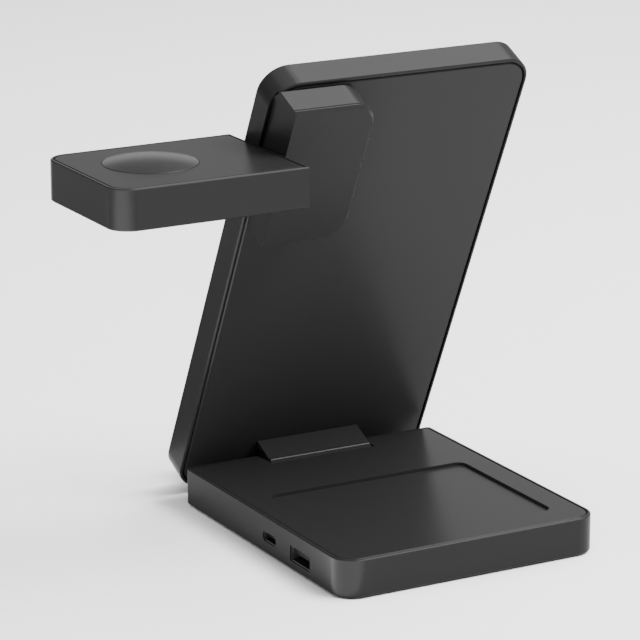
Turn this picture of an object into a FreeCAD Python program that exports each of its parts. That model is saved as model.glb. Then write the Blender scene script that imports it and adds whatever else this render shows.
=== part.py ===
"""A folding three in one wireless charger: a base with an earbud tray and two sockets, a phone plate on a
neck that hinges in the base, and an arm block whose pin carries a level watch platform.

Millimetres and degrees. X runs along the charger's width, Y from the tray side to the phone side, Z up.
The origin is the middle of the base's underside.
"""
import FreeCAD, Part
import math
import os
import Sketcher

SIZES = {
    # Base: a frame with inset covers above and below.
    "base_width": 98.0,
    "base_depth": 111.0,
    "base_height": 13.4,
    "base_corner": 8.0,
    "base_rear_corner": 1.6,
    "base_wall": 2.4,
    "base_rim": 1.0,
    "base_seam": 0.35,
    "base_edge": 0.35,
    "top_cover_thickness": 2.4,
    "bottom_cover_thickness": 1.4,
    "foot_pad_thickness": 0.6,
    "foot_pad_inset": 6.0,
    "tray_width": 76.0,
    "tray_length": 57.9,
    "tray_front": 12.6,
    "tray_recess": 0.9,
    "tray_corner": 3.0,
    "tray_lip": 0.35,
    # Base insides.
    "post_width": 6.4,
    "board_post_width": 3.6,
    "board_post_inset": 3.2,
    "board_thickness": 1.0,
    "board_stand": 0.4,
    "board_width": 33.0,
    "board_length": 52.0,
    "board_front": 18.0,
    "chip_width": 8.0,
    "chip_height": 1.2,
    "choke_width": 10.0,
    "choke_height": 3.8,
    "earbud_coil_radius": 20.0,
    "earbud_coil_bore": 9.0,
    "coil_thickness": 0.8,
    "ferrite_thickness": 0.8,
    "ferrite_margin": 2.5,
    # Sockets in the left wall, measured from the front of the base and from the desk.
    "wide_socket_width": 13.15,
    "wide_socket_height": 5.2,
    "wide_socket_depth": 14.0,
    "wide_socket_centre": 28.8,
    "wide_socket_level": 6.0,
    "wide_tongue_width": 11.1,
    "wide_tongue_thickness": 1.84,
    "small_socket_width": 8.94,
    "small_socket_height": 3.26,
    "small_socket_depth": 7.5,
    "small_socket_centre": 49.9,
    "small_socket_level": 6.3,
    "small_tongue_width": 6.7,
    "small_tongue_thickness": 0.7,
    "socket_recess": 0.5,
    "shell_wall": 0.3,
    "tongue_setback": 1.2,
    # Hinge between base and plate: a leaf square to the plate over ribs that carry the barrel.
    "tilt": 25.5,
    "plate_gap": 4.05,
    "hinge_inset": 1.75,
    "hinge_height": 7.3,
    "neck_width": 40.0,
    "neck_top": 5.2,
    "neck_reach": 13.4,
    "neck_pocket": 5.5,
    "barrel_radius": 2.25,
    "leaf_thickness": 1.9,
    "hinge_pin_radius": 1.0,
    "hinge_side_gap": 0.5,
    "hinge_front_gap": 0.3,
    "ear_width": 4.0,
    "housing_wall": 2.0,
    "rib_thickness": 2.0,
    "flange_thickness": 1.7,
    "flange_margin": 3.8,
    "neck_post_spread": 24.0,
    # Phone plate, drawn flat: Y along the plate from the level of the base's top.
    "plate_width": 96.8,
    "plate_top": 162.7,
    "plate_foot": 12.0,
    "plate_thickness": 11.6,
    "plate_corner": 9.5,
    "plate_wall": 2.2,
    "plate_face": 1.6,
    "plate_rim": 1.0,
    "plate_seam": 0.6,
    "plate_edge": 0.4,
    "phone_edge": 1.2,
    "rear_cover_thickness": 1.6,
    "cover_bevel": 0.4,
    "relief_width": 2.2,
    # Phone side.
    "ledge_width": 70.0,
    "ledge_reach": 13.0,
    "ledge_foot": 8.5,
    "ledge_thickness": 5.0,
    "ledge_corner": 4.0,
    "upstand_height": 1.5,
    "upstand_thickness": 2.0,
    "ledge_pad_thickness": 0.6,
    "phone_pad_width": 60.0,
    "phone_pad_foot": 22.0,
    "phone_pad_length": 104.0,
    "phone_pad_corner": 8.0,
    "phone_pad_thickness": 0.5,
    "phone_coil_radius": 22.0,
    "phone_coil_bore": 10.5,
    "phone_coil_height": 75.0,
    "plate_board_width": 44.0,
    "plate_board_length": 26.0,
    "plate_board_foot": 122.0,
    "plate_board_level": 5.4,
    # Arm block on the rear of the plate.
    "block_inset": 1.1,
    "block_width": 30.4,
    "block_length": 54.7,
    "block_foot": 106.8,
    "block_gap": 1.7,
    "block_depth": 10.0,
    "block_wall": 2.0,
    "block_corner": 8.5,
    "cap_thickness": 1.6,
    "cap_edge": 0.9,
    "parting_bevel": 0.25,
    "spindle_radius": 8.0,
    "spindle_depth": 3.4,
    "relief_foot_inset": 5.4,
    "relief_top_inset": 1.9,
    "skirt_depth": 1.2,
    "skirt_slope": 1.5,
    "anchor_width": 22.0,
    "anchor_thickness": 1.5,
    "swivel_rise": 1.05,
    "swivel_depth": 6.5,
    "swivel_radius": 2.0,
    "swivel_boss_radius": 3.4,
    "swivel_boss_length": 6.0,
    "washer_radius": 4.6,
    # Watch platform.
    "platform_gap": 0.3,
    "platform_length": 67.4,
    "platform_depth": 54.3,
    "platform_thickness": 13.5,
    "platform_corner": 7.5,
    "platform_wall": 2.0,
    "platform_floor": 1.6,
    "platform_rim": 0.9,
    "platform_seam": 0.35,
    "platform_edge": 0.4,
    "platform_cover_thickness": 1.6,
    "puck_radius": 15.5,
    "puck_end_inset": 26.2,
    "puck_offset": 2.5,
    "puck_step": 0.2,
    "puck_dome": 1.8,
    "puck_body": 2.8,
    "watch_coil_radius": 11.0,
    "watch_coil_bore": 5.0,
    "watch_board_width": 22.0,
    "watch_board_length": 30.0,
    # Clearances.
    "fit_gap": 0.1,
    "running_gap": 0.05,
    "cut_margin": 1.0,
}

document = FreeCAD.newDocument("wireless_charger")
sheet = document.addObject("Spreadsheet::Sheet", "sizes")
for row, (alias, number) in enumerate(SIZES.items(), start=1):
    sheet.set(f"A{row}", alias)
    sheet.set(f"B{row}", str(number))
    sheet.setAlias(f"B{row}", alias)
document.recompute()


class Size:
    """A length or angle that carries its number and the sheet formula that gives it."""

    def __init__(self, value, formula):
        self.value = float(value)
        self.formula = formula

    def __add__(self, other):
        other = as_size(other)
        return Size(self.value + other.value, f"({self.formula} + {other.formula})")

    def __sub__(self, other):
        other = as_size(other)
        return Size(self.value - other.value, f"({self.formula} - {other.formula})")

    def __mul__(self, other):
        other = as_size(other)
        return Size(self.value * other.value, f"({self.formula} * {other.formula})")

    def __truediv__(self, other):
        other = as_size(other)
        return Size(self.value / other.value, f"({self.formula} / {other.formula})")

    def __neg__(self):
        return Size(-self.value, f"(0 - {self.formula})")

    __radd__ = __add__
    __rmul__ = __mul__


def as_size(number):
    return number if isinstance(number, Size) else Size(number, f"{number}")


def sine(angle):
    return Size(math.sin(math.radians(angle.value)), f"sin({angle.formula})")


def cosine(angle):
    return Size(math.cos(math.radians(angle.value)), f"cos({angle.formula})")


def diagonal(first, second):
    """The straight length across two lengths at right angles."""
    length = math.hypot(first.value, second.value)
    return Size(length, f"sqrt({first.formula} * {first.formula} + {second.formula} * {second.formula})")


def size(alias):
    return Size(sheet.get(alias), f"sizes.{alias}")


ZERO = Size(0.0, "0")


def half(length):
    return (-(length / 2), length / 2)


def bind(thing, path, length):
    """Ties a property of an object to the sheet."""
    thing.setExpression(path, length.formula)


# Frames. Base parts stand in the row frame. Plate parts are drawn lying flat, rear face up, and turned up
# about the line where the rear face meets the level of the base's top. Platform parts are drawn about the
# swivel axis, from the platform's right end.
base_height = size("base_height")
tilt = size("tilt")
foot_line = size("base_depth") / 2 + size("plate_gap")


def from_plate(along, out):
    """Row Y and Z of a point on the plate: its height along the plate and its distance off the rear face."""
    row_y = foot_line - along * sine(tilt) - out * cosine(tilt)
    row_z = base_height + along * cosine(tilt) - out * sine(tilt)
    return row_y, row_z


def to_plate(row_y, row_z):
    """The height along the plate and the distance off its rear face of a point in the row frame."""
    along = (foot_line - row_y) * sine(tilt) + (row_z - base_height) * cosine(tilt)
    out = (foot_line - row_y) * cosine(tilt) + (base_height - row_z) * sine(tilt)
    return along, out


hinge_y = size("base_depth") / 2 - size("hinge_inset")
hinge_z = size("hinge_height")
hinge_along, hinge_out = to_plate(hinge_y, hinge_z)
sweep_radius = diagonal(size("neck_top") - hinge_along, size("neck_reach") - hinge_out)
swivel_along = size("block_foot") + size("block_length") / 2 + size("swivel_rise")
swivel_out = size("block_gap") + size("swivel_depth")
swivel_y, swivel_z = from_plate(swivel_along, swivel_out)
plate_left = -(size("plate_width") / 2)
platform_end = plate_left - size("platform_gap")

FRAMES = {
    "base": (ZERO, ZERO, ZERO, ZERO),
    "plate": (ZERO, foot_line, base_height, 90 + tilt),
    "platform": (platform_end, swivel_y, swivel_z, ZERO),
}


def place(thing, frame):
    """Puts a piece in its frame and ties its place to the sheet."""
    x, y, z, turn = FRAMES[frame]
    rotation = FreeCAD.Rotation(FreeCAD.Vector(1, 0, 0), turn.value)
    thing.Placement = FreeCAD.Placement(FreeCAD.Vector(x.value, y.value, z.value), rotation)
    for path, length in (("Base.x", x), ("Base.y", y), ("Base.z", z), ("Rotation.Angle", turn)):
        if length is not ZERO:
            bind(thing, "Placement." + path, length)


PIECES = {}


def new_body(name, frame):
    """A piece of its own: a body whose label names its file."""
    body = document.addObject("PartDesign::Body", name)
    body.Label = name
    place(body, frame)
    PIECES[name] = body
    return body


PLANES = {"X": "YZ_Plane", "Y": "XZ_Plane", "Z": "XY_Plane"}


def new_sketch(body, axis, level):
    """A sketch square to an axis, at a level along it."""
    count = len(document.Objects)
    sketch = body.newObject("Sketcher::SketchObject", f"{body.Name}_sketch{count}")
    plane = [part for part in body.Origin.OriginFeatures if part.Role == PLANES[axis]][0]
    sketch.AttachmentSupport = [(plane, "")]
    sketch.MapMode = "FlatFace"
    offset = -level if axis == "Y" else level
    sketch.AttachmentOffset = FreeCAD.Placement(FreeCAD.Vector(0, 0, offset.value), FreeCAD.Rotation())
    bind(sketch, "AttachmentOffset.Base.z", offset)
    sketch.addProperty("App::PropertyString", "ExtrudeAxis")
    sketch.ExtrudeAxis = axis
    return sketch


def constrain(sketch, kind, *arguments):
    """Adds a constraint whose last argument may be a size of the sheet."""
    *places, last = arguments
    if isinstance(last, Size):
        index = sketch.addConstraint(Sketcher.Constraint(kind, *places, last.value))
        bind(sketch, f"Constraints[{index}]", last)
    else:
        sketch.addConstraint(Sketcher.Constraint(kind, *arguments))


def vector(x, y):
    return FreeCAD.Vector(x, y, 0)


CORNERS = ("sw", "se", "ne", "nw")


def rectangle(sketch, across, along, radius=None, rounded=CORNERS):
    """A rectangle between two positions each way, its corners rounded alike or each by its own radius."""
    (left, right), (low, high) = across, along
    radii = radius if isinstance(radius, dict) else {corner: radius for corner in rounded}
    turn = {corner: radii[corner].value if radii.get(corner) else 0.0 for corner in CORNERS}
    sides = (
        ((left.value + turn["sw"], low.value), (right.value - turn["se"], low.value)),
        ((right.value, low.value + turn["se"]), (right.value, high.value - turn["ne"])),
        ((right.value - turn["ne"], high.value), (left.value + turn["nw"], high.value)),
        ((left.value, high.value - turn["nw"]), (left.value, low.value + turn["sw"])),
    )
    lines = [sketch.addGeometry(Part.LineSegment(vector(*start), vector(*end))) for start, end in sides]
    centres = {
        "se": (right.value - turn["se"], low.value + turn["se"]),
        "ne": (right.value - turn["ne"], high.value - turn["ne"]),
        "nw": (left.value + turn["nw"], high.value - turn["nw"]),
        "sw": (left.value + turn["sw"], low.value + turn["sw"]),
    }
    for number, corner in enumerate(("se", "ne", "nw", "sw")):
        line, following = lines[number], lines[(number + 1) % 4]
        if not turn[corner]:
            constrain(sketch, "Coincident", line, 2, following, 1)
            continue
        circle = Part.Circle(vector(*centres[corner]), FreeCAD.Vector(0, 0, 1), turn[corner])
        first = math.radians(90 * number - 90)
        arc = sketch.addGeometry(Part.ArcOfCircle(circle, first, first + math.pi / 2))
        constrain(sketch, "Tangent", line, 2, arc, 1)
        constrain(sketch, "Tangent", arc, 2, following, 1)
        constrain(sketch, "Radius", arc, radii[corner])
    for line, kind in zip(lines, ("Horizontal", "Vertical", "Horizontal", "Vertical")):
        constrain(sketch, kind, line)
    for line, kind, position in zip(lines, ("DistanceY", "DistanceX") * 2, (low, right, high, left)):
        constrain(sketch, kind, -1, 1, line, 1, position)


def circle(sketch, x, y, radius):
    """A circle at a point."""
    shape = Part.Circle(vector(x.value, y.value), FreeCAD.Vector(0, 0, 1), radius.value)
    index = sketch.addGeometry(shape)
    constrain(sketch, "DistanceX", -1, 1, index, 3, x)
    constrain(sketch, "DistanceY", -1, 1, index, 3, y)
    constrain(sketch, "Radius", index, radius)


def polygon(sketch, points):
    """A closed outline of straight sides. The last side runs back to the first point."""
    lines = []
    for number, (x, y) in enumerate(points):
        next_x, next_y = points[(number + 1) % len(points)]
        segment = Part.LineSegment(vector(x.value, y.value), vector(next_x.value, next_y.value))
        lines.append(sketch.addGeometry(segment))
    for number, (x, y) in enumerate(points):
        constrain(sketch, "Coincident", lines[number - 1], 2, lines[number], 1)
        constrain(sketch, "DistanceX", -1, 1, lines[number], 1, x)
        constrain(sketch, "DistanceY", -1, 1, lines[number], 1, y)


def extrude(body, sketch, length, cut=False):
    """Pads or cuts a sketch from its level towards the positive end of its axis."""
    kind = "PartDesign::Pocket" if cut else "PartDesign::Pad"
    feature = body.newObject(kind, f"{sketch.Name}_{'cut' if cut else 'pad'}")
    feature.Profile = sketch
    feature.Length = length.value
    bind(feature, "Length", length)
    feature.Reversed = cut != (sketch.ExtrudeAxis == "Y")
    sketch.Visibility = False
    return feature


def block(body, axis, level, length, across, along, radius=None, rounded=CORNERS, cut=False):
    """Pads or cuts a rectangle square to an axis."""
    sketch = new_sketch(body, axis, level)
    rectangle(sketch, across, along, radius, rounded)
    return extrude(body, sketch, length, cut)


def disc(body, axis, level, length, places, radius, bore=None, cut=False):
    """Pads or cuts one circle or several, each with a bore if one is given."""
    sketch = new_sketch(body, axis, level)
    for x, y in places:
        circle(sketch, x, y, radius)
        if bore:
            circle(sketch, x, y, bore)
    return extrude(body, sketch, length, cut)


def outer_edges(feature, level, plain_side=None):
    """Names of the edges round the outside of a level face, without those in a side at a given X."""
    document.recompute()
    shape = feature.Shape
    faces = [face for face in shape.Faces if len(face.Vertexes) and face.BoundBox.ZLength < 1e-6]
    faces = [face for face in faces if abs(face.BoundBox.ZMin - level.value) < 1e-6]
    widest = max(faces, key=lambda face: face.BoundBox.DiagonalLength)
    wanted = widest.OuterWire.Edges
    names = []
    for number, edge in enumerate(shape.Edges, start=1):
        box = edge.BoundBox
        kept = plain_side is None or box.XLength > 1e-6 or abs(box.XMin - plain_side.value) > 1e-6
        if kept and any(edge.isSame(other) for other in wanted):
            names.append(f"Edge{number}")
    return names


def dress(body, kind, feature, names, length):
    """Rounds or bevels the named edges of a feature."""
    dressing = body.newObject(f"PartDesign::{kind}", f"{feature.Name}_{kind.lower()}")
    dressing.Base = (feature, names)
    path = "Radius" if kind == "Fillet" else "Size"
    setattr(dressing, path, length.value)
    bind(dressing, path, length)
    return dressing


def inset(across, along, margin):
    """A rectangle's positions drawn in by a margin all round."""
    (left, right), (low, high) = across, along
    return (left + margin, right - margin), (low + margin, high - margin)


# Base. Levels are heights above the desk.
base_width, base_depth = size("base_width"), size("base_depth")
base_across, base_along = half(base_width), half(base_depth)
frame_foot = size("foot_pad_thickness")
base_cavity_foot = frame_foot + size("bottom_cover_thickness")
base_cavity_top = base_height - size("top_cover_thickness")
base_front = -(base_depth / 2)
base_left = -(base_width / 2)
cut_margin = size("cut_margin")
fit_gap = size("fit_gap")
running_gap = size("running_gap")

hinge_gap = size("hinge_front_gap")
notch_radius = sweep_radius + hinge_gap
notch_width = size("neck_width") + 2 * size("hinge_side_gap")
housing_width = notch_width + 2 * size("ear_width")
housing_along = (hinge_y - notch_radius - size("housing_wall"), base_depth / 2 - size("base_rim"))
folded_leaf_front = hinge_y - (size("neck_top") - hinge_along) - hinge_gap
folded_nose_foot = hinge_z + hinge_out - size("neck_reach") - hinge_gap
base_front_corners = ("sw", "se")

board_across = (base_left + size("base_wall") + 2 * fit_gap,
                base_left + size("base_wall") + 2 * fit_gap + size("board_width"))
board_along = (base_front + size("board_front"), base_front + size("board_front") + size("board_length"))
board_foot = base_cavity_foot + size("board_stand")
board_top = board_foot + size("board_thickness")
socket_face = base_left + size("socket_recess")
WIDE_Y = base_front + size("wide_socket_centre")
SMALL_Y = base_front + size("small_socket_centre")


def around(centre, width):
    return (centre - width / 2, centre + width / 2)


def posts(body, level, height, across, along, width):
    """Square posts at the crossings of the given positions."""
    sketch = new_sketch(body, "Z", level)
    for x in across:
        for y in along:
            rectangle(sketch, around(x, width), around(y, width))
    return extrude(body, sketch, height)


def base_frame():
    """The side wall: a ring, rounded in front, with seats for both covers, the hinge housing and two socket
    openings."""
    body = new_body("base_frame", "base")
    corner, rear_corner = size("base_corner"), size("base_rear_corner")
    corners = {"sw": corner, "se": corner, "ne": rear_corner, "nw": rear_corner}
    ring = block(body, "Z", frame_foot, base_height - frame_foot, base_across, base_along, corners)
    edges = outer_edges(ring, base_height) + outer_edges(ring, frame_foot)
    dress(body, "Chamfer", ring, edges, size("base_edge"))
    wall, rim = size("base_wall"), size("base_rim")
    cavity = inset(base_across, base_along, wall)
    block(body, "Z", frame_foot, base_height, *cavity, corner - wall, base_front_corners, cut=True)
    seat = inset(base_across, base_along, rim)
    block(body, "Z", base_cavity_top, base_height, *seat, corner - rim, base_front_corners, cut=True)
    block(body, "Z", frame_foot - cut_margin, size("bottom_cover_thickness") + cut_margin, *seat,
          corner - rim, base_front_corners, cut=True)
    post = size("post_width")
    corner_posts = inset(*cavity, post / 2)
    cavity_height = base_cavity_top - base_cavity_foot
    posts(body, base_cavity_foot, cavity_height, *corner_posts, post)
    block(body, "Z", base_cavity_foot, cavity_height, half(housing_width), housing_along)
    neck_sweep(body)
    block(body, "Z", frame_foot, size("bottom_cover_thickness"), half(notch_width + 2 * fit_gap),
          (base_depth / 2 - rim, base_depth / 2))
    disc(body, "X", -(housing_width / 2 + cut_margin), housing_width + 2 * cut_margin, [(hinge_y, hinge_z)],
         size("hinge_pin_radius") + running_gap, cut=True)
    opening = size("base_wall") + 2 * cut_margin
    for centre, name, rounding in ((WIDE_Y, "wide_socket", 0.1), (SMALL_Y, "small_socket", 0.45)):
        room = 2 * fit_gap
        width, height, level = size(f"{name}_width"), size(f"{name}_height"), size(f"{name}_level")
        block(body, "X", base_left - cut_margin, opening, around(centre, width + room),
              around(level, height + room), height * rounding + fit_gap, cut=True)


def neck_sweep(body):
    """Clears the room that the neck turns in, round the hinge axis and above the folded leaf."""
    disc(body, "X", -(notch_width / 2), notch_width, [(hinge_y, hinge_z)], notch_radius, cut=True)
    block(body, "X", -(notch_width / 2), notch_width, (folded_leaf_front, base_depth / 2 + cut_margin),
          (base_cavity_foot, base_height + cut_margin), cut=True)


def base_top_cover():
    """The inset top with the shallow earbud tray, cleared where the neck turns."""
    body = new_body("base_top_cover", "base")
    margin = size("base_rim") + size("base_seam")
    thickness = size("top_cover_thickness")
    outline = inset(base_across, base_along, margin)
    cover = block(body, "Z", base_cavity_top, thickness, *outline, size("base_corner") - margin,
                  base_front_corners)
    dress(body, "Chamfer", cover, outer_edges(cover, base_height), size("tray_lip"))
    tray_along = (base_front + size("tray_front"), base_front + size("tray_front") + size("tray_length"))
    tray_across = half(size("tray_width"))
    recess, lip = size("tray_recess"), size("tray_lip")
    block(body, "Z", base_height - recess, recess + cut_margin, tray_across, tray_along,
          size("tray_corner"), cut=True)
    mouth = inset(tray_across, tray_along, -lip)
    block(body, "Z", base_height - lip, lip + cut_margin, *mouth, size("tray_corner") + lip, cut=True)
    neck_sweep(body)


def base_bottom_cover():
    """The inset underside with the posts of the circuit board and a recess for the folded neck."""
    body = new_body("base_bottom_cover", "base")
    margin = size("base_rim") + size("base_seam")
    outline = inset(base_across, base_along, margin)
    block(body, "Z", frame_foot, size("bottom_cover_thickness"), *outline, size("base_corner") - margin,
          base_front_corners)
    places = inset(board_across, board_along, size("board_post_inset"))
    posts(body, base_cavity_foot - fit_gap, size("board_stand") + fit_gap, *places,
          size("board_post_width"))
    recess = (folded_leaf_front - hinge_gap, folded_leaf_front + size("leaf_thickness") + 3 * hinge_gap)
    block(body, "Z", folded_nose_foot, base_cavity_foot - folded_nose_foot + cut_margin, half(notch_width),
          recess, cut=True)


def foot_pad():
    """The soft pad that the charger stands on."""
    body = new_body("anti_slip_pad", "base")
    outline = inset(base_across, base_along, size("foot_pad_inset"))
    block(body, "Z", ZERO, frame_foot, *outline, size("base_corner") * 0.75)


def base_board():
    """The circuit board on its posts, with the driver chip and the choke."""
    body = new_body("base_board", "base")
    block(body, "Z", board_foot, size("board_thickness"), board_across, board_along)
    middle = board_across[1] - size("choke_width")
    chip = new_body("driver_chip", "base")
    width = size("chip_width")
    block(chip, "Z", board_top, size("chip_height"), around(middle, width),
          around(board_along[1] - width, width))
    choke = new_body("choke", "base")
    width = size("choke_width")
    block(choke, "Z", board_top, size("choke_height"), around(middle, width),
          around(board_along[0] + width, width))


def socket(node, name, centre, tongue_lift, rounding):
    """A socket's metal shell, closed at the back, and the contact tongue that stands in it."""
    width, height = size(f"{name}_socket_width"), size(f"{name}_socket_height")
    depth, level = size(f"{name}_socket_depth"), size(f"{name}_socket_level")
    wall = size("shell_wall")
    corner = height * rounding
    shell = new_body(f"{node}_shell", "base")
    block(shell, "X", socket_face, depth, around(centre, width), around(level, height), corner)
    legs = around(centre, width - 2 * corner)
    shell_foot = level - height / 2
    if shell_foot.value - board_top.value > fit_gap.value:
        leg_x = (socket_face + size("base_wall") + 2 * fit_gap, socket_face + depth)
        block(shell, "Z", board_top, shell_foot - board_top + wall, leg_x, legs)
    block(shell, "X", socket_face - cut_margin, depth - wall + cut_margin, around(centre, width - 2 * wall),
          around(level, height - 2 * wall), corner - wall * 0.5, cut=True)
    tongue = new_body(f"{node}_tongue", "base")
    setback = size("tongue_setback")
    block(tongue, "X", socket_face + setback, depth - wall - setback,
          around(centre, size(f"{name}_tongue_width")),
          around(level + tongue_lift, size(f"{name}_tongue_thickness")))


def sockets():
    """The wide output socket and the small charging socket."""
    lift = size("wide_socket_height") / 2 - size("shell_wall") - size("wide_tongue_thickness") * 0.85
    socket("usb_a", "wide", WIDE_Y, lift, 0.1)
    socket("usb_c", "small", SMALL_Y, ZERO, 0.45)


def coil_stack(names, frame, places, axis_levels, radius, bore, thickness):
    """Flat wound coils, one to a level."""
    for name, (x, y), level in zip(names, places, axis_levels):
        body = new_body(name, frame)
        disc(body, "Z", level, thickness, [(x, y)], radius, bore)


def earbud_charger():
    """The coil under the tray and the ferrite sheet behind it."""
    centre_y = base_front + size("tray_front") + size("tray_length") / 2
    thickness = size("coil_thickness")
    coil_foot = base_cavity_top - thickness
    coil_stack(["earbud_coil"], "base", [(ZERO, centre_y)], [coil_foot], size("earbud_coil_radius"),
               size("earbud_coil_bore"), thickness)
    ferrite = new_body("earbud_ferrite", "base")
    width = 2 * (size("earbud_coil_radius") + size("ferrite_margin"))
    block(ferrite, "Z", coil_foot - size("ferrite_thickness"), size("ferrite_thickness"), half(width),
          around(centre_y, width))


# Hinge neck, in the plate's flat frame: Y along the plate, Z off its rear face.
flange_top = -(size("rear_cover_thickness") + fit_gap)
flange_foot = flange_top - size("flange_thickness")
leaf_foot = size("neck_top") - size("leaf_thickness")
root_along = (hinge_along, size("neck_top"))
flange_along = (root_along[0] - size("flange_margin"), root_along[1] + size("flange_margin"))
flange_across = half(size("neck_width") + size("flange_margin"))
neck_across = half(size("neck_width"))
neck_post_width = size("flange_margin") * 1.5
NECK_POSTS = (half(size("neck_post_spread")),
              (flange_along[0] + neck_post_width / 2, flange_along[1] - neck_post_width / 2))


def hinge_neck():
    """The part that carries the plate: a flange inside it, a root flush with the rear cover, a thin leaf
    with a rounded nose over ribs, and the barrel. Both ends under the leaf are open pockets."""
    body = new_body("hinge_neck", "plate")
    block(body, "Z", flange_foot, size("flange_thickness"), flange_across, flange_along)
    block(body, "Z", flange_top - fit_gap, -flange_top + fit_gap, neck_across, root_along)
    nose = size("leaf_thickness") / 2
    nose_out = size("neck_reach") - nose
    block(body, "Z", -fit_gap, nose_out + fit_gap, neck_across, (leaf_foot, size("neck_top")))
    disc(body, "X", neck_across[0], size("neck_width"), [(size("neck_top") - nose, nose_out)], nose)
    barrel = size("barrel_radius")
    barrel_width = size("neck_width") - 2 * size("neck_pocket")
    disc(body, "X", -(barrel_width / 2), barrel_width, [(hinge_along, hinge_out)], barrel)
    rib = size("rib_thickness")
    under = leaf_foot + fit_gap
    outline = [(under, -fit_gap), (under, nose_out), (hinge_along + barrel * 0.3, hinge_out + barrel * 0.9),
               (hinge_along - barrel * 0.9, hinge_out), (root_along[0], -fit_gap)]
    for level in (-(barrel_width / 2), -(rib / 2), barrel_width / 2 - rib):
        sketch = new_sketch(body, "X", level)
        polygon(sketch, outline)
        extrude(body, sketch, rib)
    disc(body, "X", neck_across[0] - cut_margin, size("neck_width") + 2 * cut_margin,
         [(hinge_along, hinge_out)], size("hinge_pin_radius") + fit_gap / 10, cut=True)


def hinge_pin():
    """The steel pin, fast in the neck's barrel, that turns in the base's housing."""
    body = new_body("hinge_pin", "plate")
    disc(body, "X", -(housing_width / 2), housing_width, [(hinge_along, hinge_out)], size("hinge_pin_radius"))


# Phone plate, in its flat frame.
plate_across = half(size("plate_width"))
plate_along = (-size("plate_foot"), size("plate_top"))
plate_thickness = size("plate_thickness")
phone_side = -plate_thickness
plate_floor = phone_side + size("plate_face")
cover_foot = -size("rear_cover_thickness")
plate_board_foot = -size("plate_board_level")
plate_board_across = (ZERO - size("plate_board_width") / 4, size("plate_board_width") * 0.75)
plate_board_along = (size("plate_board_foot"), size("plate_board_foot") + size("plate_board_length"))
block_across = (plate_left + size("block_inset"), plate_left + size("block_inset") + size("block_width"))
block_along = (size("block_foot"), size("block_foot") + size("block_length"))
block_x = (block_across[0] + block_across[1]) / 2
relief_along = (block_along[0] + size("relief_foot_inset"), block_along[1] - size("relief_top_inset"))
relief_across = (plate_left, plate_left + size("relief_width"))


def plate_frame():
    """The plate's side wall and phone face in one moulding, with the ledge that carries the phone."""
    body = new_body("plate_frame", "plate")
    corner = size("plate_corner")
    slab = block(body, "Z", phone_side, plate_thickness, plate_across, plate_along, corner)
    rear_edge = outer_edges(slab, ZERO)
    bevelled = dress(body, "Chamfer", slab, rear_edge, size("plate_edge"))
    dress(body, "Chamfer", bevelled, outer_edges(bevelled, phone_side), size("phone_edge"))
    wall, rim = size("plate_wall"), size("plate_rim")
    cavity = inset(plate_across, plate_along, wall)
    block(body, "Z", plate_floor, plate_thickness, *cavity, corner - wall, cut=True)
    seat = inset(plate_across, plate_along, rim)
    block(body, "Z", cover_foot, plate_thickness, *seat, corner - rim, cut=True)
    block(body, "Z", cover_foot, plate_thickness, (relief_across[0] - cut_margin, relief_across[1]),
          relief_along, cut=True)
    posts(body, plate_floor - fit_gap, flange_foot - plate_floor + fit_gap, *NECK_POSTS, neck_post_width)
    board_posts = inset(plate_board_across, plate_board_along, size("board_post_inset"))
    posts(body, plate_floor - fit_gap, plate_board_foot - plate_floor + fit_gap, *board_posts,
          size("board_post_width"))
    ledge_across = half(size("ledge_width"))
    ledge_out = phone_side - size("ledge_reach")
    ledge_level = -size("ledge_foot")
    block(body, "Y", ledge_level, size("ledge_thickness"), ledge_across,
          (ledge_out, phone_side + size("plate_face")), size("ledge_corner"), ("sw", "se"))
    upstand = new_sketch(body, "Y", ledge_level + size("ledge_thickness") - fit_gap)
    inner = inset(ledge_across, (ledge_out, phone_side), size("upstand_thickness"))
    rectangle(upstand, (ledge_across[0] + size("ledge_corner"), ledge_across[1] - size("ledge_corner")),
              (ledge_out, inner[1][0]))
    extrude(body, upstand, size("upstand_height") + fit_gap)


def plate_rear_cover():
    """The inset rear cover, open for the neck's root and the arm block's spindle, notched at the relief."""
    body = new_body("plate_rear_cover", "plate")
    margin = size("plate_rim") + size("plate_seam")
    thickness = size("rear_cover_thickness")
    outline = inset(plate_across, plate_along, margin)
    cover = block(body, "Z", cover_foot, thickness, *outline, size("plate_corner") - margin)
    dress(body, "Chamfer", cover, outer_edges(cover, ZERO), size("cover_bevel"))
    neck_opening = inset(half(size("neck_width")), root_along, -2 * fit_gap)
    block(body, "Z", cover_foot - cut_margin, thickness + 2 * cut_margin, *neck_opening, cut=True)
    disc(body, "Z", cover_foot - cut_margin, thickness + 2 * cut_margin, [(block_x, swivel_along)],
         size("spindle_radius") + 2 * fit_gap, cut=True)
    block(body, "Z", cover_foot - cut_margin, thickness + 2 * cut_margin, relief_across, relief_along,
          cut=True)


def phone_pads():
    """The soft pad on the phone face and the one on the ledge."""
    pad = new_body("phone_pad", "plate")
    thickness = size("phone_pad_thickness")
    along = (size("phone_pad_foot"), size("phone_pad_foot") + size("phone_pad_length"))
    block(pad, "Z", phone_side - thickness, thickness, half(size("phone_pad_width")), along,
          size("phone_pad_corner"))
    ledge_pad = new_body("ledge_pad", "plate")
    ledge_top = size("ledge_thickness") - size("ledge_foot")
    out = (phone_side - size("ledge_reach") + size("upstand_thickness") + 2 * fit_gap, phone_side - fit_gap)
    block(ledge_pad, "Y", ledge_top, size("ledge_pad_thickness"),
          half(size("ledge_width") - 2 * size("ledge_corner")), out)


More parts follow.
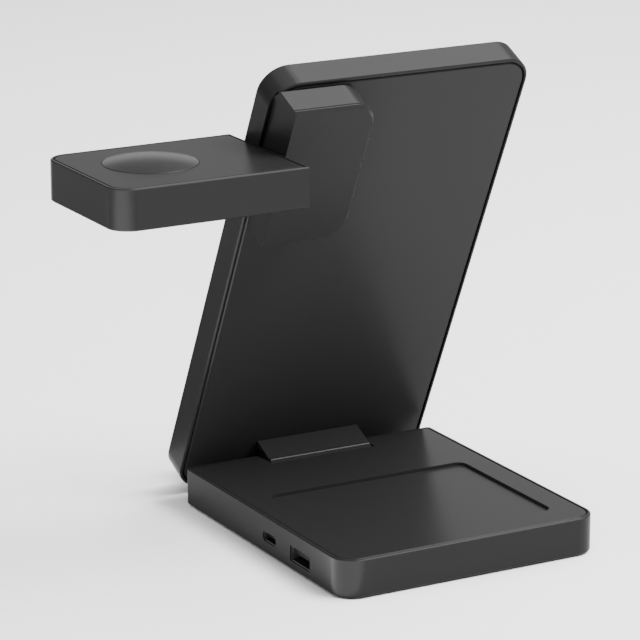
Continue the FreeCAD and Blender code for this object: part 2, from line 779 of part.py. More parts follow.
def phone_charger():
    """The phone coil, its ferrite sheet, and the plate's circuit board with its chip."""
    thickness, height = size("coil_thickness"), size("phone_coil_height")
    coil_stack(["phone_coil"], "plate", [(ZERO, height)], [plate_floor], size("phone_coil_radius"),
               size("phone_coil_bore"), thickness)
    ferrite = new_body("phone_ferrite", "plate")
    width = 2 * (size("phone_coil_radius") + size("ferrite_margin"))
    block(ferrite, "Z", plate_floor + thickness, size("ferrite_thickness"), half(width),
          around(height, width))
    board = new_body("plate_board", "plate")
    block(board, "Z", plate_board_foot, size("board_thickness"), plate_board_across, plate_board_along)
    chip = new_body("control_chip", "plate")
    width = size("chip_width")
    block(chip, "Z", plate_board_foot + size("board_thickness"), size("chip_height"),
          around(plate_board_across[1] - width, width), around(plate_board_along[0] + width, width))


# Arm block, in the plate's flat frame.
block_gap = size("block_gap")
block_top = block_gap + size("block_depth")
washer_across = (platform_end + running_gap, block_across[0])
spindle_foot = -size("spindle_depth")


def arm_block_housing():
    """The arm block's shell, held off the plate by its spindle, with a skirt in the plate's relief and the
    boss that grips the swivel pin."""
    body = new_body("arm_block_housing", "plate")
    corner, wall = size("block_corner"), size("block_wall")
    right_side = ("se", "ne")
    shell = block(body, "Z", block_gap, size("block_depth"), block_across, block_along, corner, right_side)
    dress(body, "Chamfer", shell, outer_edges(shell, block_top, block_across[0]), size("parting_bevel"))
    cavity = inset(block_across, block_along, wall)
    block(body, "Z", block_gap + wall, size("block_depth"), *cavity, corner - wall, right_side, cut=True)
    disc(body, "Z", spindle_foot, block_gap - spindle_foot + fit_gap, [(block_x, swivel_along)],
         size("spindle_radius"))
    skirt_foot = -size("skirt_depth")
    skirt_across = (block_across[0], relief_across[1] - 3 * fit_gap)
    skirt_ends = (relief_along[0] + 3 * fit_gap, relief_along[1] - 3 * fit_gap)
    slope = size("skirt_slope")
    skirt = new_sketch(body, "X", skirt_across[0])
    polygon(skirt, [(skirt_ends[0], skirt_foot), (skirt_ends[1] - slope, skirt_foot),
                    (skirt_ends[1], ZERO), (block_along[1], block_gap + fit_gap),
                    (skirt_ends[0], block_gap + fit_gap)])
    extrude(body, skirt, skirt_across[1] - skirt_across[0])
    disc(body, "X", block_across[0] + wall - fit_gap, size("swivel_boss_length") + fit_gap,
         [(swivel_along, swivel_out)], size("swivel_boss_radius"))
    disc(body, "X", block_across[0] - cut_margin, size("swivel_boss_length") + wall + cut_margin,
         [(swivel_along, swivel_out)], size("swivel_radius") + fit_gap / 10, cut=True)


def arm_block_cap():
    """The cap that closes the arm block, bevelled on three sides, with a fine groove above the shell."""
    body = new_body("arm_block_cap", "plate")
    thickness = size("cap_thickness")
    cap = block(body, "Z", block_top, thickness, block_across, block_along, size("block_corner"),
                ("se", "ne"))
    left = block_across[0]
    bevelled = dress(body, "Chamfer", cap, outer_edges(cap, block_top + thickness, left), size("cap_edge"))
    dress(body, "Chamfer", bevelled, outer_edges(bevelled, block_top, left), size("parting_bevel"))


def arm_anchor():
    """The plate inside the phone plate that the arm block's spindle is fixed to."""
    body = new_body("arm_anchor", "plate")
    thickness, width = size("anchor_thickness"), size("anchor_width")
    block(body, "Z", spindle_foot - thickness, thickness, around(block_x, width),
          around(swivel_along, width))


def swivel():
    """The pin that the platform turns on and the washer beside the arm block."""
    wall, boss = size("block_wall"), size("swivel_boss_length")
    pin = new_body("swivel_pin", "plate")
    inner_end = block_across[0] + wall + boss
    outer_end = platform_end - size("platform_wall") - boss
    disc(pin, "X", outer_end, inner_end - outer_end, [(swivel_along, swivel_out)], size("swivel_radius"))
    washer = new_body("swivel_washer", "plate")
    disc(washer, "X", washer_across[0], washer_across[1] - washer_across[0], [(swivel_along, swivel_out)],
         size("washer_radius"), size("swivel_radius") + fit_gap / 10)


# Watch platform, in its own frame: X from its right end, Z from the swivel axis.
platform_across = (-size("platform_length"), ZERO)
platform_along = half(size("platform_depth"))
platform_foot = -(size("platform_thickness") / 2)
platform_top = size("platform_thickness") / 2
platform_floor = platform_foot + size("platform_floor")
platform_cover_foot = platform_top - size("platform_cover_thickness")
puck_x = platform_across[0] + size("puck_end_inset")
puck_y = size("puck_offset")
puck_foot = platform_top - size("puck_body")
watch_coil_foot = puck_foot - size("coil_thickness")
watch_ferrite_foot = watch_coil_foot - size("ferrite_thickness")
outer_end = ("sw", "nw")


def platform_frame():
    """The platform's shell: a tray with a rounded outer end and the hub that turns on the swivel pin."""
    body = new_body("platform_frame", "platform")
    corner, wall, rim = size("platform_corner"), size("platform_wall"), size("platform_rim")
    tray = block(body, "Z", platform_foot, size("platform_thickness"), platform_across, platform_along,
                 corner, outer_end)
    edges = outer_edges(tray, platform_foot) + outer_edges(tray, platform_top)
    dress(body, "Chamfer", tray, edges, size("platform_edge"))
    cavity = inset(platform_across, platform_along, wall)
    block(body, "Z", platform_floor, size("platform_thickness"), *cavity, corner - wall, outer_end,
          cut=True)
    seat = inset(platform_across, platform_along, rim)
    block(body, "Z", platform_cover_foot, size("platform_thickness"), *seat, corner - rim, outer_end,
          cut=True)
    boss = size("swivel_boss_length")
    disc(body, "X", -(wall + boss), boss + fit_gap, [(ZERO, ZERO)], size("swivel_boss_radius"))
    disc(body, "X", -(wall + boss + cut_margin), wall + boss + 2 * cut_margin, [(ZERO, ZERO)],
         size("swivel_radius") + running_gap, cut=True)
    posts(body, platform_floor - fit_gap, watch_ferrite_foot - platform_floor + fit_gap, [puck_x], [puck_y],
          size("watch_coil_bore") * 2)
    across, along = inset(*watch_board_place(), size("board_post_inset"))
    posts(body, platform_floor - fit_gap, size("board_stand") + fit_gap, across, along,
          size("board_post_width"))


def watch_board_place():
    right = -(size("platform_wall") + size("swivel_boss_length") + 4 * fit_gap)
    return (right - size("watch_board_width"), right), half(size("watch_board_length"))


def platform_top_cover():
    """The inset top with the round opening that the puck stands in."""
    body = new_body("platform_top_cover", "platform")
    margin = size("platform_rim") + size("platform_seam")
    thickness = size("platform_cover_thickness")
    outline = inset(platform_across, platform_along, margin)
    cover = block(body, "Z", platform_cover_foot, thickness, *outline, size("platform_corner") - margin,
                  outer_end)
    dress(body, "Chamfer", cover, outer_edges(cover, platform_top), size("tray_lip"))
    disc(body, "Z", platform_cover_foot - cut_margin, thickness + 2 * cut_margin, [(puck_x, puck_y)],
         size("puck_radius") + fit_gap / 2, cut=True)


def watch_puck():
    """The puck: a shallow dome in four bands on a short skirt, with a flange under the cover, turned about
    its own axis. The dome falls with the square of the distance from its middle."""
    body = new_body("watch_puck", "platform")
    radius, dome = size("puck_radius"), size("puck_dome")
    flange_radius = radius + size("ferrite_margin") / 2
    skirt_level = platform_top + size("puck_step")
    outline = [(puck_x, puck_foot), (puck_x + flange_radius, puck_foot),
               (puck_x + flange_radius, platform_cover_foot), (puck_x + radius, platform_cover_foot)]
    for share in (1.0, 0.75, 0.5, 0.25, 0.0):
        outline.append((puck_x + radius * share, skirt_level + dome * (1 - share * share)))
    sketch = new_sketch(body, "Y", puck_y)
    polygon(sketch, outline)
    turned = body.newObject("PartDesign::Revolution", "watch_puck_turned")
    turned.Profile = sketch
    turned.ReferenceAxis = (sketch, [f"Edge{len(outline)}"])
    turned.Angle = 360
    sketch.Visibility = False


def watch_charger():
    """The watch coil on its ferrite plate, and the platform's board."""
    coil_stack(["watch_coil"], "platform", [(puck_x, puck_y)], [watch_coil_foot], size("watch_coil_radius"),
               size("watch_coil_bore"), size("coil_thickness"))
    ferrite = new_body("watch_ferrite", "platform")
    width = 2 * size("watch_coil_radius")
    block(ferrite, "Z", watch_ferrite_foot, size("ferrite_thickness"), around(puck_x, width),
          around(puck_y, width))
    board = new_body("watch_board", "platform")
    across, along = watch_board_place()
    block(board, "Z", platform_floor + size("board_stand"), size("board_thickness"), across, along)


def build():
    """Makes every piece."""
    for make in (base_frame, base_top_cover, base_bottom_cover, foot_pad, base_board, sockets, earbud_charger,
                 hinge_neck, hinge_pin, plate_frame, plate_rear_cover, phone_pads, phone_charger,
                 arm_block_housing, arm_block_cap, arm_anchor, swivel, platform_frame, platform_top_cover,
                 watch_puck, watch_charger):
        make()
    document.recompute()


def check():
    """Stops if an object failed or a piece's shape isn't a valid solid."""
    for thing in document.Objects:
        if "Invalid" in thing.State or "Error" in thing.State:
            raise RuntimeError(f"{thing.Name} failed: {thing.State}")
    for name, piece in PIECES.items():
        shape = piece.Shape
        if shape.isNull() or not shape.isValid() or not shape.Solids:
            raise RuntimeError(f"{name} is not a valid solid")
        if len(shape.Solids) != 1:
            raise RuntimeError(f"{name} has {len(shape.Solids)} solids")


def export():
    """Writes one file for each piece."""
    os.makedirs("parts", exist_ok=True)
    for name, piece in PIECES.items():
        piece.Shape.exportStep(f"parts/{name}.step")
        box = piece.Shape.BoundBox
        print(f"{name}: {piece.Shape.Volume:.1f} mm3, {box.XMin:.2f}..{box.XMax:.2f}, "
              f"{box.YMin:.2f}..{box.YMax:.2f}, {box.ZMin:.2f}..{box.ZMax:.2f}")
    print(f"{len(PIECES)} pieces")


build()
check()
export()
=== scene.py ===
# %% [markdown]
# # A folding three in one wireless charger
# This lesson dresses a charger that was built as exact solids. The solids arrive as a fixed frame:
# each is already in its place, in metres, and none is moved or reshaped here. What is left for
# Blender is what a drawing of solids lacks: finishes with the right grain and gloss, a finer dome, a
# small bead, and light.

import bmesh
import bpy
import math
from mathutils import Matrix, Vector


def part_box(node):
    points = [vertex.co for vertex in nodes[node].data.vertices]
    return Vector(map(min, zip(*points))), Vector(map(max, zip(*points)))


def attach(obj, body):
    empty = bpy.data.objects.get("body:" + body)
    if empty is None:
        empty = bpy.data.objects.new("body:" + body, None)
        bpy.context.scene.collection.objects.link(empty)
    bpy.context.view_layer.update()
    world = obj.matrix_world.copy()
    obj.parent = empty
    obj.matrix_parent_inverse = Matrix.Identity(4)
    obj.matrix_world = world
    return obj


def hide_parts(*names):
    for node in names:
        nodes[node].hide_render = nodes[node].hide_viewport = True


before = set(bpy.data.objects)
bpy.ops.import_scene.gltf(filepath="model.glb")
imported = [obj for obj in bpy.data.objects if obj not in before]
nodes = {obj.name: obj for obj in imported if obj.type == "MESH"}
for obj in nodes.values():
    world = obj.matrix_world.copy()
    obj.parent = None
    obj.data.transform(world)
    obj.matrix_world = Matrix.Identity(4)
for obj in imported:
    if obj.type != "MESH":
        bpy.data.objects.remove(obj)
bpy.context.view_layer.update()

# %% [markdown]
# ## The camera
# The photograph was taken from the tray side, a little to the left and from above. A long lens from
# a little over a metre away keeps the charger's edges nearly parallel, as they are in the photograph.
# The angles come from lining up the base's corners, the plate's edges and the platform's edges with
# the picture.

# %% Camera
TURN = math.radians(29.0)
DIP = math.radians(15.855)
CAMERA_PLACE = (-0.55145, -0.94674, 0.38476)
SENSOR_WIDTH = 36.0
FOCAL_LENGTH = 191.5

camera = bpy.data.objects.new("camera", bpy.data.cameras.new("camera"))
bpy.context.scene.collection.objects.link(camera)
look = Vector((math.sin(TURN) * math.cos(DIP), math.cos(TURN) * math.cos(DIP), -math.sin(DIP)))
camera.location = CAMERA_PLACE
camera.rotation_mode = "QUATERNION"
camera.rotation_quaternion = look.to_track_quat("-Z", "Y")
camera.data.sensor_fit = "HORIZONTAL"
camera.data.sensor_width = SENSOR_WIDTH
camera.data.lens = FOCAL_LENGTH
bpy.context.scene.camera = camera
print("Camera looks along", [round(part, 3) for part in look])

# %% [markdown]
# ## Writing a finish
# A finish is a small network of shader nodes. Reading sums as sums is easier than reading wires, so
# one class wraps a socket and turns + and * into Math nodes. Every sum here starts from a plain
# number, as in `0.25 + speck * 0.15`. A second class holds the material and adds any other node by
# its type, its settings and its inputs.

# %% Sockets that do sums
class Wire:
    """The output of a node. Arithmetic on it adds a Math node."""

    def __init__(self, finish, socket):
        self.finish = finish
        self.socket = socket

    def math(self, operation, first, second):
        settings = {"operation": operation}
        return self.finish.node("ShaderNodeMath", settings, {0: first, 1: second})

    def __radd__(self, other):
        return self.math("ADD", other, self)

    def __mul__(self, other):
        return self.math("MULTIPLY", self, other)


class Finish:
    """A material under construction."""

    def __init__(self, name):
        self.material = bpy.data.materials.new(name)
        self.material.use_nodes = True
        self.tree = self.material.node_tree
        self.tree.nodes.clear()

    def node(self, kind, settings=None, inputs=None, output=0):
        """Adds a node: its settings first, then the values or wires of its sockets."""
        made = self.tree.nodes.new(kind)
        for name, value in (settings or {}).items():
            setattr(made, name, value)
        for name, value in (inputs or {}).items():
            if isinstance(value, Wire):
                self.tree.links.new(value.socket, made.inputs[name])
            else:
                made.inputs[name].default_value = value
        return Wire(self, made.outputs[output]) if len(made.outputs) else None

    def place(self):
        """Object coordinates, in metres."""
        return self.node("ShaderNodeTexCoord", output="Object")

    def noise(self, scale, detail=2.0, rough=0.5, vector=None):
        """A noise. Its scale is the number of its cells in a metre."""
        return self.node("ShaderNodeTexNoise", None, {
            "Vector": vector or self.place(), "Scale": scale, "Detail": detail, "Roughness": rough,
        })

    def blend(self, factor, first, second):
        """A colour between two colours."""
        inputs = {0: factor, 6: first, 7: second}
        return self.node("ShaderNodeMix", {"data_type": "RGBA"}, inputs, output=2)

    def bump(self, height, depth, strength=1.0):
        """A relief whose depth is in metres."""
        inputs = {"Height": height, "Distance": depth, "Strength": strength}
        return self.node("ShaderNodeBump", None, inputs)

    def surface(self, inputs):
        """Ends the network in the main shader."""
        shader = self.node("ShaderNodeBsdfPrincipled", None, inputs)
        self.node("ShaderNodeOutputMaterial", None, {"Surface": shader})
        print("Finish:", self.material.name, "nodes:", len(self.tree.nodes))
        return self.material


def grey(tone, warmth=0.0):
    """A near neutral colour, warmer by a little if asked."""
    return (tone * (1.0 + warmth), tone, tone * (1.0 - warmth), 1.0)


# %% [markdown]
# ## Moulded satin plastic
# The housings are dark charcoal plastic with a spark eroded grain: a fine, even stipple that turns
# hard reflections soft. The grain is one noise, a fifth of a millimetre across. Colour hardly
# varies, and slow noises move the tone and the gloss a little, as moulding and handling do. A grain
# this fine hides most of the mirror reflection, and the sheen says how much is left. The plate's
# rear cover gets a lighter tone than the other covers: painted light that brightens its face,
# which leans down over the tray. The platform's cover is duller, so each has its own finish.

# %% Satin plastic
HANDLING = 0.01


def satin_plastic(name, tone, gloss, grain=1.0, sheen=0.07):
    """Moulded plastic: tone is its grey, gloss its roughness, grain the strength of its stipple,
    sheen how much of the mirror reflection its texture leaves."""
    finish = Finish(name)
    stipple = finish.noise(5200.0, detail=2.0, rough=0.5)
    handled = finish.noise(24.0, detail=2.0, rough=0.4)
    clouds = finish.noise(9.0, detail=2.0, rough=0.4)
    tint = finish.blend(clouds, grey(tone * 0.96), grey(tone * 1.04, warmth=0.01))
    rough = gloss - HANDLING + handled * (2 * HANDLING)
    return finish.surface({
        "Base Color": tint, "Roughness": rough, "IOR": 1.46, "Specular IOR Level": sheen,
        "Normal": finish.bump(stipple, depth=0.000002 * grain, strength=0.5),
    })


SHELL = satin_plastic("charcoal_shell", tone=0.016, gloss=0.3)
COVER = satin_plastic("charcoal_cover", tone=0.015, gloss=0.26, grain=0.7)
# Painted light: the rear cover's lighter tone brightens the plate's down-facing face.
REAR_PAINTED_LIGHT = satin_plastic("rear_cover", tone=0.021, gloss=0.28, grain=0.7)
DECK = satin_plastic("platform_cover", tone=0.014, gloss=0.3, grain=0.7, sheen=0.022)

# %% [markdown]
# ## The watch puck, the neck and the plastics inside
# The puck and the neck are the same charcoal but smoother, and the neck and its bead have more
# sheen, so that they catch a soft highlight. Hidden plastics only need a plain finish that reads
# well through the sockets.

# %% More plastics
PUCK = satin_plastic("puck_plastic", tone=0.017, gloss=0.26, grain=0.4, sheen=0.07)
NECK = satin_plastic("neck_plastic", tone=0.017, gloss=0.2, grain=0.5, sheen=0.3)
NOSE = satin_plastic("bead_plastic", tone=0.016, gloss=0.3, grain=0.7, sheen=0.12)
WASHER = satin_plastic("washer_nylon", tone=0.012, gloss=0.5)
TONGUE = satin_plastic("socket_tongue", tone=0.01, gloss=0.4)
CHIP = satin_plastic("chip_epoxy", tone=0.012, gloss=0.55)

# %% [markdown]
# ## Soft pads
# The phone pad, the ledge pad and the foot are silicone rubber: darker, rougher and with a faint
# bloom of dust.

# %% Silicone rubber
def silicone(name, tone, gloss):
    """Rubber with a fine tooth and a slow bloom."""
    finish = Finish(name)
    stipple = finish.noise(1800.0, detail=3.0, rough=0.6)
    bloom = finish.noise(90.0, detail=5.0, rough=0.6)
    tint = finish.blend(bloom, grey(tone * 0.85), grey(tone * 1.25))
    return finish.surface({
        "Base Color": tint, "Roughness": gloss + bloom * 0.1, "IOR": 1.41,
        "Normal": finish.bump(stipple, depth=0.00002, strength=0.6),
    })


PAD = silicone("pad_silicone", tone=0.014, gloss=0.58)

# %% [markdown]
# ## Metals
# Turned steel has fine rings round its axis and socket shells have a drawn grain along their length.
# Both are a stretched noise: the coordinates are scaled much more across the grain than along it.

# %% Metals
def drawn_metal(name, tone, gloss, stretch):
    """Metal whose grain is a noise stretched by three scales."""
    finish = Finish(name)
    along = finish.node("ShaderNodeMapping", None, {"Vector": finish.place(), "Scale": stretch})
    grain = finish.noise(1.0, detail=3.0, rough=0.6, vector=along)
    stain = finish.noise(260.0, detail=3.0, rough=0.55)
    tint = finish.blend(stain, grey(tone * 0.85), grey(tone * 1.05))
    return finish.surface({
        "Base Color": tint, "Metallic": 1.0, "Roughness": gloss + grain * 0.12,
        "Normal": finish.bump(grain, depth=0.000004, strength=0.5),
    })


STEEL = drawn_metal("turned_steel", tone=0.55, gloss=0.28, stretch=(9000.0, 400.0, 400.0))
SOCKET = drawn_metal("plated_socket", tone=0.1, gloss=0.4, stretch=(500.0, 6000.0, 6000.0))

# %% [markdown]
# ## Boards, windings and ferrite
# These are shut inside, but a model that is opened should still show them. The board is green
# lacquer with faint tracks, the windings are copper rings 0.6 millimetres apart, darker down in the
# grooves between the turns as painted shade, and ferrite is a dull sintered grey.

# %% Electronics
LACQUER = (0.01, 0.075, 0.03, 1.0)
LACQUER_LIGHT = (0.012, 0.09, 0.035, 1.0)
TRACK = (0.02, 0.14, 0.05, 1.0)
# Painted shade: the copper is darker down in the grooves between the turns.
COPPER_GROOVE_SHADE = (0.2, 0.07, 0.03, 1.0)
COPPER = (0.62, 0.27, 0.13, 1.0)
MILLIMETRES = 1000.0
# A ring rises over half its pitch, in millimetres, and the gain brings its height to about 1.
HALF_PITCH = 0.3
RING_GAIN = 3.3


def board_lacquer():
    """Green lacquer over faint tracks."""
    finish = Finish("board_lacquer")
    tracks = finish.node("ShaderNodeTexBrick", {"offset": 0.5}, {
        "Vector": finish.place(), "Scale": 300.0, "Mortar Size": 0.03,
        "Color1": LACQUER, "Color2": LACQUER_LIGHT, "Mortar": TRACK,
    })
    speck = finish.noise(900.0, detail=2.0)
    return finish.surface({
        "Base Color": tracks, "Roughness": 0.25 + speck * 0.15, "Coat Weight": 0.3,
        "Normal": finish.bump(speck, depth=0.00001, strength=0.4),
    })


def winding(name, centre, turn):
    """Copper wire wound flat about a centre: rings by distance from it."""
    finish = Finish(name)
    local = finish.node("ShaderNodeMapping", {"vector_type": "POINT"}, {
        "Vector": finish.place(), "Location": [-part for part in centre]})
    flat = finish.node("ShaderNodeVectorRotate", {"rotation_type": "X_AXIS"}, {
        "Vector": local, "Angle": -turn})
    flattened = finish.node("ShaderNodeVectorMath", {"operation": "MULTIPLY"}, {
        0: flat, 1: (1.0, 1.0, 0.0)})
    distance = finish.node("ShaderNodeVectorMath", {"operation": "LENGTH"}, {0: flattened},
                           output="Value")
    ring = finish.node("ShaderNodeMath", {"operation": "PINGPONG"}, {
        0: distance * MILLIMETRES, 1: HALF_PITCH})
    height = ring * RING_GAIN
    # The low part of each ring takes the darker copper: painted shade in the grooves.
    return finish.surface({
        "Base Color": finish.blend(height, COPPER_GROOVE_SHADE, COPPER), "Metallic": 1.0,
        "Roughness": 0.32, "Normal": finish.bump(height, depth=0.0001, strength=0.8),
    })


def ferrite_sinter():
    """Dull grey grains, pressed and fired."""
    finish = Finish("ferrite_sinter")
    speck = finish.noise(1500.0, detail=4.0, rough=0.7)
    tint = finish.blend(speck, grey(0.02), grey(0.06))
    return finish.surface({
        "Base Color": tint, "Roughness": 0.55 + speck * 0.2,
        "Normal": finish.bump(speck, depth=0.00003, strength=0.6),
    })


BOARD = board_lacquer()
FERRITE = ferrite_sinter()


# %% [markdown]
# ## Dressing the solids
# Each solid takes its finish by name. Windings need their own centre, so each coil gets a copper of
# its own, centred on the middle of its box and turned with the plate.

# %% Finishes by solid
FINISHES = {
    "base_frame": SHELL, "base_top_cover": COVER, "base_bottom_cover": SHELL,
    "anti_slip_pad": PAD, "base_board": BOARD, "driver_chip": CHIP, "choke": FERRITE,
    "usb_a_shell": SOCKET, "usb_a_tongue": TONGUE, "usb_c_shell": SOCKET,
    "usb_c_tongue": TONGUE, "earbud_ferrite": FERRITE, "hinge_neck": NECK, "hinge_pin": STEEL,
    "plate_frame": SHELL, "plate_rear_cover": REAR_PAINTED_LIGHT, "phone_pad": PAD, "ledge_pad": PAD,
    "phone_ferrite": FERRITE, "plate_board": BOARD, "control_chip": CHIP,
    "arm_block_housing": SHELL, "arm_block_cap": SHELL, "arm_anchor": STEEL,
    "swivel_pin": STEEL, "swivel_washer": WASHER, "platform_frame": SHELL,
    "platform_top_cover": DECK, "watch_puck": PUCK, "watch_ferrite": FERRITE,
    "watch_board": BOARD,
}
PLATE_TURN = math.radians(115.5)
COILS = {"earbud_coil": 0.0, "phone_coil": PLATE_TURN, "watch_coil": 0.0}


def dress(node, material):
    """Gives a solid its finish."""
    mesh = nodes[node].data
    mesh.materials.clear()
    mesh.materials.append(material)


for node, material in FINISHES.items():
    dress(node, material)
for node, turn in COILS.items():
    low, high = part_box(node)
    dress(node, winding(f"{node}_copper", (low + high) / 2, turn))
bare = set(nodes) - set(FINISHES) - set(COILS)
print("Dressed:", len(FINISHES) + len(COILS), "bare:", bare)

# %% [markdown]
# ## From a shape to a piece
# Every new piece starts as a bmesh, a shape built point by point. It becomes an object of the scene,
# and a curved piece is shaded smooth except where two faces meet at a sharp angle.

# %% Making pieces
SHARP_ANGLE = math.radians(40)


def new_piece(name, shape):
    """Turns a bmesh into an object of the scene."""
    mesh = bpy.data.meshes.new(name)
    shape.to_mesh(mesh)
    shape.free()
    piece = bpy.data.objects.new(name, mesh)
    bpy.context.scene.collection.objects.link(piece)
    return piece


def smooth(piece):
    """Shades a piece smooth but for its sharp edges."""
    for face in piece.data.polygons:
        face.use_smooth = True
    piece.data.set_sharp_from_angle(angle=SHARP_ANGLE)


# %% [markdown]
# ## The watch puck's dome
# The solid puck is turned from four cones, which is enough for a simulation. Here it is turned again
# from a fine profile, so that its highlight runs without a step. The dome falls with the square of
# the distance from its middle, and a small rounding closes it down to the skirt.

# %% The dome
DOME_RADIUS = 0.0155
DOME_RISE = 0.0018
FLANGE_DROP = 0.0036
ROUNDING = 0.0005
ROUNDING_STEPS = 6
DOME_STEPS = 24
TURN_STEPS = 96
MERGE_DISTANCE = 0.000001

puck_low, puck_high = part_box("watch_puck")
puck_middle = (puck_low + puck_high) / 2
skirt_level = puck_high.z - DOME_RISE
flange_radius = (puck_high.x - puck_low.x) / 2
flange_level = puck_high.z - FLANGE_DROP
profile = [(0.0, puck_low.z), (flange_radius, puck_low.z), (flange_radius, flange_level),
           (DOME_RADIUS, flange_level), (DOME_RADIUS, skirt_level - ROUNDING)]
for step in range(1, ROUNDING_STEPS + 1):
    angle = math.pi / 2 * step / ROUNDING_STEPS
    profile.append((DOME_RADIUS - ROUNDING * (1 - math.cos(angle)),
                    skirt_level - ROUNDING * (1 - math.sin(angle))))
edge = profile[-1][0]
for step in range(DOME_STEPS - 1, -1, -1):
    share = step / DOME_STEPS
    profile.append((edge * share, skirt_level + DOME_RISE * (1 - share ** 2)))
turned = bmesh.new()
points = [turned.verts.new((puck_middle.x + radius, puck_middle.y, height))
          for radius, height in profile]
line = [turned.edges.new(pair) for pair in zip(points, points[1:])]
bmesh.ops.spin(turned, geom=points + line, cent=puck_middle, axis=(0, 0, 1), angle=math.tau,
               steps=TURN_STEPS, use_merge=True, use_duplicate=False)
bmesh.ops.remove_doubles(turned, verts=turned.verts, dist=MERGE_DISTANCE)
bmesh.ops.recalc_face_normals(turned, faces=turned.faces)
puck_dome = new_piece("puck_dome", turned)
smooth(puck_dome)
puck_dome.data.materials.append(PUCK)
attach(puck_dome, "watch_platform")
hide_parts("watch_puck")
print("Dome:", len(puck_dome.data.polygons), "faces")

# %% [markdown]
# ## The bead on the neck
# The neck's leaf ends in a soft bead just above the base's cover, and its front half draws a thin
# pale line. The leaf is square to the plate, so the bead is laid out along the plate and outwards
# from it, about the hinge's axis. It is part of a cylinder, closed underneath by a flat face.

# %% The bead
LEAN = PLATE_TURN - math.pi / 2
HINGE = Vector((0.0, 0.05375, 0.0073))
UP_PLATE = Vector((0.0, -math.sin(LEAN), math.cos(LEAN)))
OUTWARDS = Vector((0.0, -math.cos(LEAN), -math.sin(LEAN)))
LEAF_LEVEL = 0.00821
ROD_OUT = 0.0022
ROD_HALF_WIDTH = 0.0008
ROD_RADIUS = 0.001
ROD_HALF_LENGTH = 0.0197
ROD_SUNK_ANGLE = 0.15
ROD_HALF_STEPS = 6

arc_middle = LEAF_LEVEL - math.sqrt(ROD_RADIUS ** 2 - ROD_HALF_WIDTH ** 2)
reach = math.asin(ROD_HALF_WIDTH / ROD_RADIUS) + ROD_SUNK_ANGLE
arc_points = 2 * ROD_HALF_STEPS + 1
rod = bmesh.new()
rows = []
for across in (-ROD_HALF_LENGTH, ROD_HALF_LENGTH):
    row = []
    for step in range(arc_points):
        angle = reach * (step / ROD_HALF_STEPS - 1)
        point = HINGE + UP_PLATE * (arc_middle + ROD_RADIUS * math.cos(angle))
        point += OUTWARDS * (ROD_OUT + ROD_RADIUS * math.sin(angle))
        row.append(rod.verts.new((across, point.y, point.z)))
    rows.append(row)
left, right = rows
for step in range(arc_points):
    after = (step + 1) % arc_points
    rod.faces.new([left[step], left[after], right[after], right[step]])
for row in rows:
    rod.faces.new(row)
bmesh.ops.recalc_face_normals(rod, faces=rod.faces)
neck_bead = new_piece("neck_bead", rod)
smooth(neck_bead)
neck_bead.data.materials.append(NOSE)
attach(neck_bead, "phone_plate")
print("Bead:", len(neck_bead.data.polygons), "faces")

# %% [markdown]
# ## The room
# The floor is a plain pale sheet. Light comes from large soft panels. One stands high behind the
# charger and draws the pale bands on the tops of the plate and the block. The key stands high in
# front, with a smaller one lower down for the bead. Weaker panels fill from above and from the left,
# and one near the horizon lies in the tray's reflection.

# %% Floor
FLOOR_HALF_SIZE = 6.0

sheet = bmesh.new()
bmesh.ops.create_grid(sheet, x_segments=1, y_segments=1, size=FLOOR_HALF_SIZE)
floor = new_piece("floor", sheet)
paper = Finish("floor_paper")
mottle = paper.noise(3.0, detail=2.0)
floor.data.materials.append(paper.surface({
    "Base Color": paper.blend(mottle, grey(0.92), grey(0.94)), "Roughness": 0.9}))


# %% Dark cards
# Two sheets of dark card are placed behind on the left: one stands, and one lies on the floor. Only
# reflections see them. The charger's left faces mirror them in place of the bright floor, which keeps
# those faces dark.
CARD_FOOT = (-0.15, 0.13)
CARD_FAR = (-0.55, 0.85)
CARD_HEIGHT = 0.5
CARD_LIFT = 0.001

standing = [(*CARD_FOOT, 0.0), (*CARD_FAR, 0.0), (*CARD_FAR, CARD_HEIGHT),
            (*CARD_FOOT, CARD_HEIGHT)]
lying = [(-0.052, 0.11, CARD_LIFT), (-0.052, 0.3, CARD_LIFT), (*CARD_FAR, CARD_LIFT),
         (-0.25, 0.11, CARD_LIFT)]
card = bmesh.new()
for corners in (standing, lying):
    card.faces.new([card.verts.new(corner) for corner in corners])
dark_card = new_piece("dark_card", card)
dark_card.visible_camera = False
dark_card.visible_shadow = False
dark_card.visible_diffuse = False
felt = Finish("card_felt")
dark_card.data.materials.append(felt.surface({
    "Base Color": felt.blend(felt.noise(40.0, detail=2.0), grey(0.1), grey(0.13)),
    "Roughness": 0.9}))


# %% Soft panels
PANEL_TARGET = Vector((0.0, 0.0, 0.08))


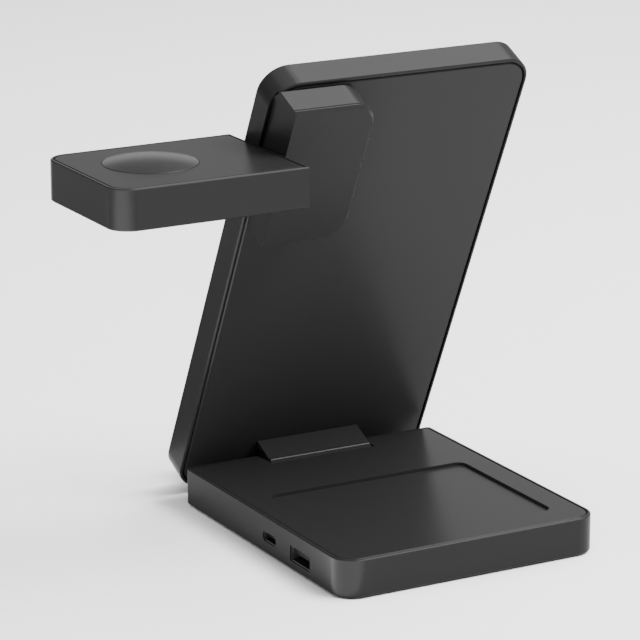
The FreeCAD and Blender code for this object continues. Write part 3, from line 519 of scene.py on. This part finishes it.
def panel(name, direction, distance, width, height, radiance):
    """A rectangular soft light that faces the charger from a direction, as bright as the radiance
    asks."""
    light = bpy.data.lights.new(name, "AREA")
    light.shape = "RECTANGLE"
    light.size = width
    light.size_y = height
    light.energy = radiance * math.pi * width * height
    lamp = bpy.data.objects.new(name, light)
    bpy.context.scene.collection.objects.link(lamp)
    lamp.location = PANEL_TARGET + Vector(direction).normalized() * distance
    lamp.rotation_mode = "QUATERNION"
    lamp.rotation_quaternion = (-Vector(direction)).to_track_quat("-Z", "Y")
    print("Panel:", name, "watts:", round(light.energy, 1))
    return lamp


panel("plate_top_panel", (0.47, 0.32, 0.83), distance=1.6, width=0.8, height=0.8, radiance=7.0)
panel("key_panel", (0.4, -0.33, 0.87), distance=1.7, width=1.2, height=1.2, radiance=17.0)
panel("nose_panel", (0.47, -0.56, 0.68), distance=1.7, width=0.5, height=0.5, radiance=20.0)
panel("fill_panel", (-0.3, 0.1, 0.95), distance=1.8, width=1.2, height=1.2, radiance=3.0)
panel("left_panel", (-0.9, 0.25, 0.35), distance=1.6, width=1.0, height=1.0, radiance=1.6)
panel("horizon_panel", (0.38, 0.91, 0.21), distance=2.6, width=1.7, height=0.75, radiance=0.8)

# %% [markdown]
# ## The pale lines on the corners
# The rounded corners towards the camera mirror a strip of floor in front of the base's left corner.
# Two lamps lie there facing up, which only reflections see: a short one for the base's corner and a
# long one for the platform's.

# %% Glows on the floor
DOWN = Vector((0.0, 0.0, -1.0))
GLOW_DIRECTION = Vector((-0.87, -0.48, 0.0)).normalized()
BASE_CORNER = Vector((-0.049, -0.048, 0.0006))


def floor_glow(name, near, far, width, radiance):
    """A bright strip of floor that only reflections see, from near to far out of the base's front
    left corner."""
    lamp = panel(name, DOWN, 0.0, far - near, width, radiance)
    lamp.location = BASE_CORNER + GLOW_DIRECTION * (near + far) / 2
    axes = (GLOW_DIRECTION, DOWN.cross(GLOW_DIRECTION), DOWN)
    lamp.rotation_quaternion = Matrix(axes).transposed().to_quaternion()
    lamp.visible_camera = False
    lamp.visible_diffuse = False


floor_glow("base_corner_glow", near=0.002, far=0.16, width=0.2, radiance=10.0)
floor_glow("platform_corner_glow", near=0.2, far=0.9, width=0.6, radiance=18.0)

# %% World
WORLD_STRENGTH = 0.45

world = bpy.data.worlds.new("studio")
world.use_nodes = True
background = world.node_tree.nodes["Background"]
background.inputs["Color"].default_value = (1.0, 1.0, 1.0, 1.0)
background.inputs["Strength"].default_value = WORLD_STRENGTH
bpy.context.scene.world = world
